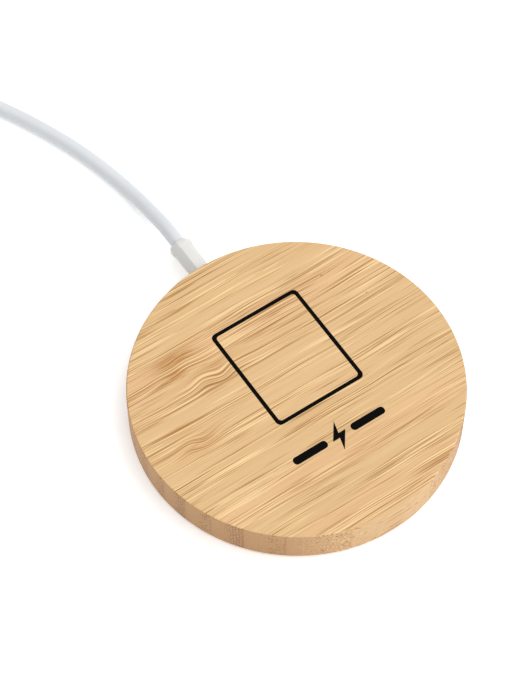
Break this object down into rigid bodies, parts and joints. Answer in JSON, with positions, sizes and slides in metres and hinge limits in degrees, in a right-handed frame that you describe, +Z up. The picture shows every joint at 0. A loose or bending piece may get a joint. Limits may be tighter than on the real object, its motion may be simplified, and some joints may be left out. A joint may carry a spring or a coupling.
{
  "type": "wireless charging pad",
  "caption": "Round bamboo charging pad with rubber feet, charging coil and circuit board inside, and a captive white cable wound in a coil with a plug.",
  "frame": {"origin": "centre of the pad on the table surface, under the rubber feet", "axes": "+Z up through the face the phone lies on, +Y towards the cable's exit, X along the bamboo's grain"},
  "size_m": [0.1439, 0.2167, 0.0118],
  "materials": {
    "bamboo": "fine oiled bamboo, satin, laminated strips with grain along X",
    "print_black": "flat black screen print",
    "cover_plastic": "fine-textured moulded plastic, warm light grey",
    "screw_steel": "zinc-plated steel",
    "foot_rubber": "soft dark rubber",
    "adhesive_foam": "cream closed-cell adhesive foam",
    "litz_wire": "enamelled copper strands, served",
    "ferrite": "dark sintered ferrite",
    "board_laminate": "green solder mask over glass laminate",
    "chip_epoxy": "black moulded epoxy",
    "capacitor_ceramic": "tan ceramic chip",
    "wire_red": "red wire insulation",
    "wire_white": "white wire insulation",
    "wire_green": "green wire insulation",
    "wire_black": "black wire insulation",
    "white_moulding": "white soft moulding, satin",
    "cable_jacket": "smooth white cable jacket, satin",
    "tie_strap": "dark strap",
    "plug_steel": "nickel-plated steel",
    "tongue_plastic": "white moulded plastic",
    "contact_gold": "gold-plated contact"
  },
  "bodies": {
    "root": {"bamboo_body": "bamboo", "base_cover": "cover_plastic", "board_screw_1": "screw_steel", "board_screw_2": "screw_steel", "board_screw_3": "screw_steel", "board_screw_4": "screw_steel", "cable_coil": "cable_jacket", "cable_lead": "cable_jacket", "cable_tail": "cable_jacket", "cable_tie": "tie_strap", "circuit_board": "board_laminate", "coil_lead_inner": "litz_wire", "coil_lead_outer": "litz_wire", "control_chip": "chip_epoxy", "cover_screw_1": "screw_steel", "cover_screw_2": "screw_steel", "cover_screw_3": "screw_steel", "cover_screw_4": "screw_steel", "driver_chip_1": "chip_epoxy", "driver_chip_2": "chip_epoxy", "ferrite_shield": "ferrite", "foam_ring": "adhesive_foam", "input_capacitor_1": "capacitor_ceramic", "input_capacitor_2": "capacitor_ceramic", "plug_contact_1": "contact_gold", "plug_contact_2": "contact_gold", "plug_contact_3": "contact_gold", "plug_contact_4": "contact_gold", "plug_moulding": "white_moulding", "plug_shell": "plug_steel", "plug_tongue": "tongue_plastic", "power_inductor": "ferrite", "resonant_capacitor_1": "capacitor_ceramic", "resonant_capacitor_2": "capacitor_ceramic", "resonant_capacitor_3": "capacitor_ceramic", "resonant_capacitor_4": "capacitor_ceramic", "rubber_foot_1": "foot_rubber", "rubber_foot_2": "foot_rubber", "rubber_foot_3": "foot_rubber", "rubber_foot_4": "foot_rubber", "sense_resistor": "chip_epoxy", "strain_relief": "white_moulding", "transmitter_coil": "litz_wire", "wire_black": "wire_black", "wire_green": "wire_green", "wire_red": "wire_red", "wire_white": "wire_white"}
  },
  "joints": []
}
